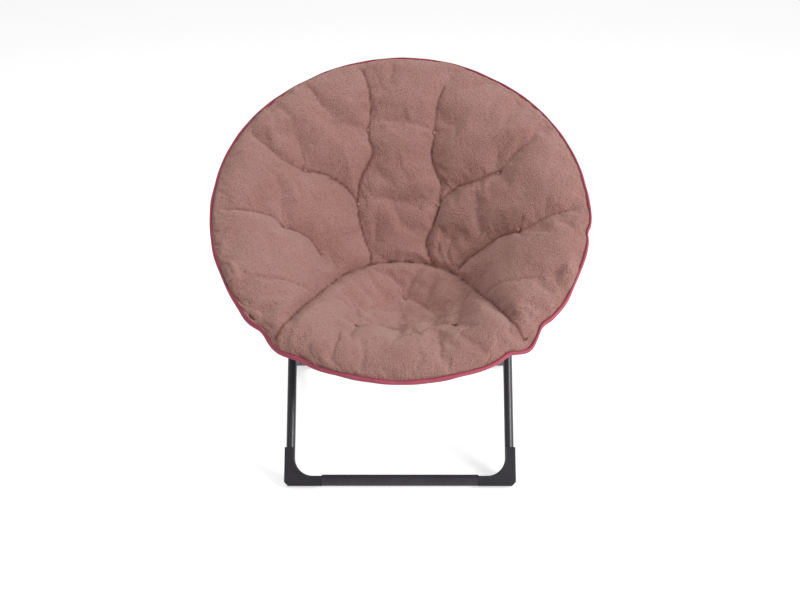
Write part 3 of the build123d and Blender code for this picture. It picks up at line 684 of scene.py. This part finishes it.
def tuft_buttons(name, places, face, normals):
    """Small covered buttons drawn down into the pile, one at each place (x, u)."""
    around, rings = BUTTON_POINTS, len(BUTTON) - 2
    points, faces = [], []
    for x, u in places:
        gap = np.hypot(face[:, 0] - x, face[:, 1] - u)
        low = face[gap.argmin()]
        up = normals[gap < BUTTON_DIMPLE].mean(axis=0)
        up /= np.linalg.norm(up)
        side = np.cross(up, (1.0, 0.0, 0.0))
        side /= np.linalg.norm(side)
        other = np.cross(up, side)
        centre = in_chair([low])[0] + up * BUTTON_RISE * MM
        first = len(points)
        points.append(centre + up * BUTTON[0][1] * MM)
        for radius, height in BUTTON[1:-1]:
            for k in range(around):
                a = 2 * pi * k / around
                pleat = radius * (1 + PLEAT_DEEP * cos(BUTTON_PLEATS * a))
                points.append(centre + (side * cos(a) + other * sin(a)) * pleat * MM + up * height * MM)
        points.append(centre + up * BUTTON[-1][1] * MM)
        faces += ring_walls(first + 1, rings, around)
        bottom = first + 1 + rings * around
        for k in range(around):
            after = (k + 1) % around
            faces.append((first, first + 1 + after, first + 1 + k))
            faces.append((bottom, bottom - around + k, bottom - around + after))
    return outward(mesh_object(name, points, faces))


def tube_along(name, centres, ups, outs, half_up, half_out):
    """A closed tube with an oval section along the centres, its ends capped."""
    around = CORD_POINTS
    rows = []
    for centre, up, out, a, b in zip(centres, ups, outs, half_up, half_out):
        rows.append([centre + up * a * cos(2 * pi * k / around) + out * b * sin(2 * pi * k / around)
                     for k in range(around)])
    points = np.array(rows).reshape(-1, 3)
    ends = [range(around)[::-1], range(len(points) - around, len(points))]
    return outward(mesh_object(name, points, ring_walls(0, len(rows), around) + ends))


def rim_path(turn, reach, above):
    """Points on the roll, so many degrees above its piping, and which way is out and up there."""
    sits = np.radians(piping_angle(turn) + above)
    a = np.radians(turn)
    radius = HOOP_RADIUS + reach * np.cos(sits) + rim_wander(turn)
    w = reach * np.sin(sits) - rim_droop(turn)
    path = in_chair(np.stack([radius * np.cos(a), radius * np.sin(a), w], axis=1))
    out = facing(np.stack([np.cos(a) * np.cos(sits), np.sin(a) * np.cos(sits), np.sin(sits)], axis=1))
    up = facing(np.stack([-np.cos(a) * np.sin(sits), -np.sin(a) * np.sin(sits), np.cos(sits)], axis=1))
    return path, out, up


PIPING_FINE = 2.4  # rings of points for each degree round the hoop
PIPING_REACH = FABRIC_TURN + 1.9  # from the hoop tube's centre line to the piping's
# half the piping's height and depth: at the back, and how much more it is at the front
PIPING_HALVES = [(4.5, 1.6), (2.7, 0.2)]


def piping(name, start, end):
    """Rose piping in the cover's edge, between two angles round the hoop, broadest at the front."""
    turn = np.linspace(start, end, int(abs(end - start) * PIPING_FINE))
    path, out, up = rim_path(turn, PIPING_REACH, 0.0)
    wobble = ripple(turn, 0.35, 13) + ripple(turn, 0.3, 29, 20)
    path = path + up * (wobble * MM)[:, None]
    front = step(-0.2, 0.95, -np.sin(np.radians(turn)))
    thick = 1 + ripple(turn, 0.07, 17) + ripple(turn, 0.06, 41)
    half_up, half_out = ((back + more * front) * MM * thick for back, more in PIPING_HALVES)
    cord = tube_along(name, path, up, out, half_up, half_out)
    section = np.cos(2 * pi * np.arange(CORD_POINTS) / CORD_POINTS)
    vertex_values(cord, "laid", mesh_points(cord.data))
    # marks the cord's upper side, towards the cover, for its painted shadow
    vertex_values(cord, "shade_under_cover", np.tile(section, len(turn)))
    return cord


# ---- node trees
class Amount:
    """A number that varies over a surface. Sums and products of amounts add Math nodes."""

    def __init__(self, tree, socket):
        self.tree, self.socket = tree, socket

    def _made(self, operation, first, second):
        node = add_node(self.tree, "ShaderNodeMath", {"operation": operation}, {0: first, 1: second})
        return Amount(self.tree, node.outputs[0])

    def __add__(self, other):
        return self._made("ADD", self, other)

    __radd__ = __add__

    def __rsub__(self, other):
        return self._made("SUBTRACT", other, self)

    def __mul__(self, other):
        return self._made("MULTIPLY", self, other)

    def high(self, other):
        return self._made("MAXIMUM", self, other)

    def ramp(self, low, high):
        """0 below low, 1 above high, smooth between."""
        node = add_node(self.tree, "ShaderNodeMapRange", {"interpolation_type": "SMOOTHSTEP"},
                        {"Value": self, "From Min": low, "From Max": high})
        return Amount(self.tree, node.outputs[0])


def feed(tree, socket, value):
    """Links a socket to what feeds it, or sets its value."""
    if isinstance(value, Amount):
        value = value.socket
    if isinstance(value, bpy.types.NodeSocket):
        tree.links.new(value, socket)
    elif socket.type == "RGBA" and len(value) == 3:
        socket.default_value = (*value, 1)
    else:
        socket.default_value = value


def add_node(tree, kind, settings=(), inputs=()):
    """Adds a node: its settings first, then a value or a link for each named socket."""
    node = tree.nodes.new(kind)
    for key, value in dict(settings).items():
        setattr(node, key, value)
    for key, value in dict(inputs).items():
        feed(tree, node.inputs[key], value)
    return node


def stitch_tree():
    """Geometry nodes that sew a row of stitches along a line of points."""
    tree = bpy.data.node_groups.new("stitch_row", "GeometryNodeTree")
    sockets = {"Line": "Geometry", "Stitch gap": "Float", "Stitch length": "Float", "Thread width": "Float",
               "Seed": "Int", "Thread": "Material"}
    for name, kind in sockets.items():
        tree.interface.new_socket(name=name, in_out="INPUT", socket_type="NodeSocket" + kind)
    tree.interface.new_socket(name="Stitches", in_out="OUTPUT", socket_type="NodeSocketGeometry")

    given = add_node(tree, "NodeGroupInput").outputs
    wide = given["Thread width"]
    line = add_node(tree, "GeometryNodeMeshToCurve", (), {"Mesh": given["Line"]})
    along = add_node(tree, "GeometryNodeCurveToPoints", {"mode": "LENGTH"},
                     {"Curve": line.outputs[0], "Length": given["Stitch gap"]})
    bead = add_node(tree, "GeometryNodeMeshUVSphere", (), {"Segments": 6, "Rings": 5, "Radius": 0.5})
    size = add_node(tree, "ShaderNodeCombineXYZ", (), {"X": wide, "Y": wide, "Z": given["Stitch length"]})
    stitch = add_node(tree, "GeometryNodeTransform", (),
                      {"Geometry": bead.outputs["Mesh"], "Scale": size.outputs[0]})
    uneven = add_node(tree, "FunctionNodeRandomValue", {"data_type": "FLOAT"},
                      {2: 0.88, 3: 1.1, "Seed": given["Seed"]})
    sewn = add_node(tree, "GeometryNodeInstanceOnPoints", (),
                    {"Points": along.outputs["Points"], "Instance": stitch.outputs[0],
                     "Rotation": along.outputs["Rotation"], "Scale": uneven.outputs[1]})
    soft = add_node(tree, "GeometryNodeSetShadeSmooth", (), {"Geometry": sewn.outputs[0]})
    real = add_node(tree, "GeometryNodeRealizeInstances", (), {"Geometry": soft.outputs[0]})
    coloured = add_node(tree, "GeometryNodeSetMaterial", (),
                        {"Geometry": real.outputs[0], "Material": given["Thread"]})
    add_node(tree, "NodeGroupOutput", (), {"Stitches": coloured.outputs[0]})
    return tree


STITCHES = stitch_tree()
STITCH_GAP, STITCH_LONG, STITCH_WIDE = 5.2, 3.6, 1.0


def stitch_row(name, line, thread):
    """A row of stitches along a line of points, as one plain mesh."""
    row = mesh_object(name, line, [], [(i, i + 1) for i in range(len(line) - 1)])
    sewing = row.modifiers.new("sewing", "NODES")
    sewing.node_group = STITCHES
    amounts = {"Stitch gap": STITCH_GAP * MM, "Stitch length": STITCH_LONG * MM,
               "Thread width": STITCH_WIDE * MM, "Seed": SEED, "Thread": thread}
    for item in STITCHES.interface.items_tree:
        if item.in_out == "INPUT" and item.name in amounts:
            sewing[item.identifier] = amounts[item.name]
    made = evaluated_mesh(row)
    row.modifiers.remove(sewing)
    row.data = made
    return row


# ---- finishes
class Finish:
    """A material and the nodes that drive its one shader."""

    def __init__(self, name):
        self.material = bpy.data.materials.new(name)
        self.material.use_nodes = True
        self.tree = self.material.node_tree
        self.shader = next(n for n in self.tree.nodes if n.type == "BSDF_PRINCIPLED")

    def node(self, kind, settings=(), inputs=()):
        return add_node(self.tree, kind, settings, inputs)

    def place(self):
        """Where on the object."""
        return self.node("ShaderNodeTexCoord").outputs["Object"]

    def laid(self):
        """Where on the cloth as it was laid, so that a pattern stays on it as it crumples."""
        return self.node("ShaderNodeAttribute", {"attribute_name": "laid"}).outputs["Vector"]

    def stored(self, attribute):
        node = self.node("ShaderNodeAttribute", {"attribute_name": attribute})
        return Amount(self.tree, node.outputs["Fac"])

    def noise(self, where, scale, detail=3.0, roughness=0.55):
        node = self.node("ShaderNodeTexNoise", (),
                         {"Vector": where, "Scale": scale, "Detail": detail, "Roughness": roughness})
        return Amount(self.tree, node.outputs["Fac"])

    def curls(self, where, scale):
        node = self.node("ShaderNodeTexVoronoi", {"feature": "SMOOTH_F1"},
                         {"Vector": where, "Scale": scale, "Smoothness": 0.4, "Randomness": 1.0})
        return Amount(self.tree, node.outputs["Distance"])

    def threads(self, where, scale, direction):
        node = self.node("ShaderNodeTexWave",
                         {"wave_type": "BANDS", "bands_direction": direction, "wave_profile": "SIN"},
                         {"Vector": where, "Scale": scale, "Distortion": 0.4, "Detail": 1.0,
                          "Detail Scale": 2.0})
        return Amount(self.tree, node.outputs["Fac"])

    def blend(self, share, first, second):
        """Colour between two, by share."""
        return self.node("ShaderNodeMix", {"data_type": "RGBA"}, {0: share, 6: first, 7: second}).outputs[2]

    def patches(self, amount, first, second):
        """Colour that drifts between two in soft patches, by a noise."""
        return self.blend(amount.ramp(0.3, 0.7), first, second)

    def relief(self, height, depth):
        """Bump of that depth in metres into the shader's Normal."""
        node = self.node("ShaderNodeBump", (), {"Height": height, "Distance": depth, "Strength": 1.0})
        feed(self.tree, self.shader.inputs["Normal"], node.outputs[0])

    def looks(self, **sockets):
        for key, value in sockets.items():
            feed(self.tree, self.shader.inputs[key.replace("_", " ")], value)
        return self.material


def srgb(red, green, blue):
    """A colour as seen, 0 to 255, as the shader wants it. It is right from 11 up."""
    return tuple(((c / 255 + 0.055) / 1.055) ** 2.4 for c in (red, green, blue))


PILE, PILE_LIGHT = srgb(178, 132, 122), srgb(190, 145, 137)
# the last colour is the painted shade in the creases
PILE_DEEP, PILE_CREASE_SHADE = srgb(146, 100, 90), srgb(112, 58, 46)
ROSE, ROSE_LIGHT = srgb(190, 86, 106), srgb(203, 99, 119)
# the last colour is painted shadow on the piping under the cover's edge
ROSE_WEAVE, ROSE_SHADOW = srgb(172, 68, 88), srgb(128, 34, 52)
GREY, GREY_LIGHT, GREY_WEAVE = srgb(118, 122, 124), srgb(130, 134, 136), srgb(92, 96, 99)
BUTTON_LIGHT, BUTTON_DEEP = srgb(188, 146, 136), srgb(150, 104, 94)
CHARCOAL, CHARCOAL_LIGHT, CHARCOAL_SCUFF = srgb(52, 49, 55), srgb(60, 57, 63), srgb(82, 80, 86)
SHOE, SHOE_LIGHT = srgb(44, 42, 48), srgb(52, 49, 56)
SLEEVE, SLEEVE_LIGHT = srgb(56, 52, 61), srgb(64, 60, 70)
ZINC_LIGHT, ZINC_DULL = srgb(176, 178, 182), srgb(150, 152, 158)


def sherpa():
    """Short curled pile in dusty pink, with painted shade in its creases."""
    f = Finish("dusty_pink_sherpa")
    where = f.laid()
    curls = f.curls(where, 380.0) + f.noise(where, 620.0) * 0.4
    tufted = f.noise(where, 150.0, 2.0)
    body = f.patches(f.noise(where, 14.0), PILE, PILE_LIGHT)
    body = f.blend((curls * 0.8).ramp(0.25, 0.9) * 0.7, body, PILE_DEEP)
    body = f.blend(tufted.ramp(0.35, 0.65) * 0.25, body, PILE_LIGHT)
    # painted shade: the pile is blended towards dark brown in its folds, along its seam and round its tufts
    body = f.blend(f.stored("crease_shade").ramp(0.2, 0.95) * 0.8, body, PILE_CREASE_SHADE)
    f.relief((1.0 - curls) + tufted * 0.5, 0.0017)
    return f.looks(Base_Color=body, Roughness=0.95, Sheen_Weight=0.35, Sheen_Roughness=0.55,
                   Sheen_Tint=(1.0, 0.86, 0.84), Specular_IOR_Level=0.15)


def rose_piping():
    """Cotton tape with a fine weave, with painted shadow on its upper side under the cover's edge."""
    f = Finish("rose_piping")
    where = f.laid()
    weave = f.noise(where, 900.0, 2.0)
    drift = f.noise(where, 30.0, 2.0)
    body = f.patches(drift, ROSE, ROSE_LIGHT)
    body = f.blend(weave.ramp(0.35, 0.7) * 0.35, body, ROSE_WEAVE)
    # painted shadow: the cord's upper side, under the cover's edge, is darkened
    body = f.blend(f.stored("shade_under_cover").ramp(0.72, 0.97) * 0.7, body, ROSE_SHADOW)
    f.relief(weave + drift * 0.4, 0.0005)
    return f.looks(Base_Color=body, Roughness=0.8, Sheen_Weight=0.2, Specular_IOR_Level=0.25)


def grey_cloth():
    """Plain-woven grey polyester."""
    f = Finish("grey_under_cloth")
    where = f.laid()
    weave = f.threads(where, 190.0, "X") * f.threads(where, 190.0, "Z")
    body = f.patches(f.noise(where, 12.0), GREY, GREY_LIGHT)
    body = f.blend(weave.ramp(0.1, 0.9) * 0.35, body, GREY_WEAVE)
    f.relief(weave, 0.0003)
    return f.looks(Base_Color=body, Roughness=0.85, Sheen_Weight=0.1, Specular_IOR_Level=0.3)


def button_cloth():
    """The cloth drawn over a tuft's button."""
    f = Finish("tuft_button_cloth")
    weave = f.noise(f.place(), 700.0)
    f.relief(weave, 0.0006)
    return f.looks(Base_Color=f.patches(weave, BUTTON_LIGHT, BUTTON_DEEP), Roughness=0.9, Sheen_Weight=0.3)


def tube_paint():
    """Charcoal powder coat with its fine orange peel."""
    f = Finish("charcoal_powder_coat")
    where = f.place()
    peel = f.noise(where, 900.0, 2.0)
    scuff = f.noise(where, 60.0, 4.0, 0.7).ramp(0.62, 0.72)
    body = f.patches(f.noise(where, 9.0, 2.0), CHARCOAL, CHARCOAL_LIGHT)
    body = f.blend(scuff * 0.3, body, CHARCOAL_SCUFF)
    f.relief(peel, 0.00012)
    return f.looks(Base_Color=body, Roughness=0.34 + peel * 0.1 + scuff * 0.08, Metallic=0.0,
                   Coat_Weight=0.15, Coat_Roughness=0.2, Specular_IOR_Level=0.6)


def moulded(name, dark, light, rough):
    """Moulded plastic with a spark-eroded grain."""
    f = Finish(name)
    where = f.place()
    grain = f.noise(where, 1100.0)
    body = f.patches(f.noise(where, 25.0, 2.0), dark, light)
    f.relief(grain, 0.00018)
    return f.looks(Base_Color=body, Roughness=rough + grain * 0.12, Specular_IOR_Level=0.45)


def zinc():
    """Zinc-plated steel with turning marks."""
    f = Finish("zinc_plated_steel")
    where = f.place()
    cloudy = f.noise(where, 90.0, 2.0)
    f.relief(f.noise(where, 600.0), 0.00008)
    body = f.patches(cloudy, ZINC_LIGHT, ZINC_DULL)
    return f.looks(Base_Color=body, Metallic=1.0, Roughness=0.28 + cloudy * 0.2)


def pale(name, colour, lift):
    """A floor that keeps its shadow, and looks lit to the camera and in reflections."""
    f = Finish(name)
    paint = {"Base Color": colour, "Roughness": 0.9, "Specular IOR Level": 0.1}
    f.looks(**paint)
    lit = f.node("ShaderNodeBsdfPrincipled", (),
                 {**paint, "Emission Color": (1, 1, 1), "Emission Strength": lift})
    path = f.node("ShaderNodeLightPath").outputs
    seen = Amount(f.tree, path["Is Camera Ray"]).high(Amount(f.tree, path["Is Glossy Ray"]))
    seen = seen.high(Amount(f.tree, path["Is Transmission Ray"]))
    mix = f.node("ShaderNodeMixShader", (), {0: seen, 1: f.shader.outputs[0], 2: lit.outputs[0]})
    output = next(n for n in f.tree.nodes if n.type == "OUTPUT_MATERIAL")
    feed(f.tree, output.inputs["Surface"], mix.outputs[0])
    return f.material


BY_SLOT = {
    "sherpa": sherpa(),
    "piping": rose_piping(),
    "under_cloth": grey_cloth(),
    "tuft_button": button_cloth(),
    "tube_paint": tube_paint(),
    "fastener_steel": zinc(),
    "foot_plastic": moulded("shoe_plastic", SHOE, SHOE_LIGHT, rough=0.42),
    "sleeve_plastic": moulded("floor_sleeve_plastic", SLEEVE, SLEEVE_LIGHT, rough=0.5),
}


def finished(thing, slot):
    """Gives a thing its slot's finish, and no other."""
    thing.data.materials.clear()
    thing.data.materials.append(BY_SLOT[slot])


for row in frame["record"]["subparts"]:
    finished(frame["nodes"][row["node"]], row["material_slot"])


# ---- the cover's pieces
HINGE_TURN = degrees(atan2(HINGE_BACK, HINGE_ACROSS))  # where the right hinge is round the hoop
HALVES = {"back": ("back_frame", HINGE_TURN, 180 - HINGE_TURN),
          "front": ("seat_frame", 180 - HINGE_TURN, 360 + HINGE_TURN)}
STITCH_RISE, STITCH_BELOW = 0.2, -27.0  # the hem's stitches, off the cloth and in degrees below the piping
HEM_BARE, HEM_FINE = 1, 2  # degrees without stitches at each end, and points in a degree of their line


def dressed(thing, body, slot, node=None):
    """Gives a new piece its finish and the body it moves with, and hides the CAD node that it stands for."""
    finished(thing, slot)
    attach(thing, body)
    if node:
        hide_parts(node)


def crumpled(thing):
    """Gives a soft piece its own copy of its mesh."""
    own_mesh(thing)


pads, face, face_normals = closed_pads()
for name, pad in pads.items():
    body, node = PADS[name]
    dressed(pad, body, "sherpa", node)
    if "roll" not in name:
        crumpled(pad)

for name, (sheet, area) in under_cloth().items():
    body, tube, node, (wide, long) = SHEETS[name]
    dressed(sheet, body, "under_cloth", node)
    if node:
        crumpled(sheet)

for name, body, node in (("back", "back_frame", "back_tufts"), ("seat", "back_frame", "seat_tuft"),
                         ("lip", "seat_frame", "seat_lip_tufts")):
    buttons = tuft_buttons("tuft_buttons_" + name, TUFTS[name], face, face_normals)
    dressed(buttons, body, "tuft_button", node)
    crumpled(buttons)

for side, (body, start, end) in HALVES.items():
    turn = np.linspace(start + HEM_BARE, end - HEM_BARE, int(end - start - 2 * HEM_BARE) * HEM_FINE)
    hem_line, _, _ = rim_path(turn, FABRIC_TURN + STITCH_RISE, STITCH_BELOW)
    dressed(stitch_row("hem_stitches_" + side, hem_line, BY_SLOT["under_cloth"]), body, "under_cloth")

for side, (body, start, end) in HALVES.items():
    dressed(piping("piping_" + side, start, end), body, "piping", side + "_piping")


# ---- floor, light, camera, in metres
FLOOR_REACH = 9.0
FLOOR_GREY, FLOOR_LIFT = (0.86, 0.86, 0.86), 0.62
WORLD_LIGHT = 0.33
CAMERA_PLACE, CAMERA_TILT = (0, -2.3369, 1.4438), radians(64)
CAMERA_LENS, CAMERA_SENSOR = 53.775, 36

corners = [(x * FLOOR_REACH, y * FLOOR_REACH, 0) for x, y in ((-1, -1), (1, -1), (1, 1), (-1, 1))]
floor = mesh_object("floor", corners, [range(4)])
floor.data.materials.append(pale("pale_floor", FLOOR_GREY, FLOOR_LIFT))


def soft_lamp(name, place, aim, size, power):
    light = bpy.data.lights.new(name, "AREA")
    light.shape, light.size, light.energy = "DISK", size, power
    lamp = bpy.data.objects.new(name, light)
    lamp.location = place
    lamp.rotation_euler = (Vector(aim) - Vector(place)).to_track_quat("-Z", "Y").to_euler()
    bpy.context.scene.collection.objects.link(lamp)


soft_lamp("key", place=(2.5, -1.8, 1.9), aim=(0, 0, 0.45), size=1.3, power=70)
soft_lamp("top", place=(-0.8, 0.7, 2.9), aim=(0, 0, 0.4), size=1.8, power=26)

world = bpy.data.worlds.new("studio")
world.use_nodes = True
background = world.node_tree.nodes["Background"]
background.inputs["Color"].default_value = (1, 1, 1, 1)
background.inputs["Strength"].default_value = WORLD_LIGHT
bpy.context.scene.world = world

camera_data = bpy.data.cameras.new("camera")
camera_data.lens, camera_data.sensor_width = CAMERA_LENS, CAMERA_SENSOR
camera = bpy.data.objects.new("camera", camera_data)
camera.location = CAMERA_PLACE
camera.rotation_euler = (CAMERA_TILT, 0, 0)
bpy.context.scene.collection.objects.link(camera)
bpy.context.scene.camera = camera
bpy.context.scene.view_settings.view_transform = "Standard"
